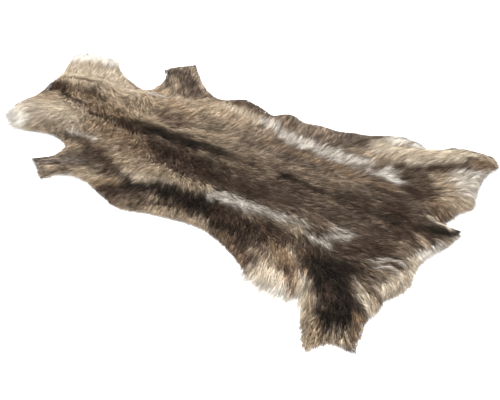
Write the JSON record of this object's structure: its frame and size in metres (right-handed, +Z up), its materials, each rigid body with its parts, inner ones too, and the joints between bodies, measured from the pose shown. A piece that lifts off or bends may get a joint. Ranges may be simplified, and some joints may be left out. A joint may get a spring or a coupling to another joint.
{
  "type": "reindeer hide",
  "caption": "Reindeer hide tanned with its hair on, laid flat on the floor with the hair up, with neck flaps, leg stubs and a short tail.",
  "frame": {"origin": "on the floor, at the middle of the hide's length and width", "axes": "+X back along the spine from the neck to the tail, +Y to the animal's right, +Z up out of the hair"},
  "size_m": [1.273, 0.785, 0.0519],
  "materials": {
    "fur": "dense matt winter hair in greyish brown, with cream flanks, neck and groin",
    "suede": "pale matt tanned flesh side"
  },
  "bodies": {
    "root": {"hide": "fur"}
  },
  "joints": []
}
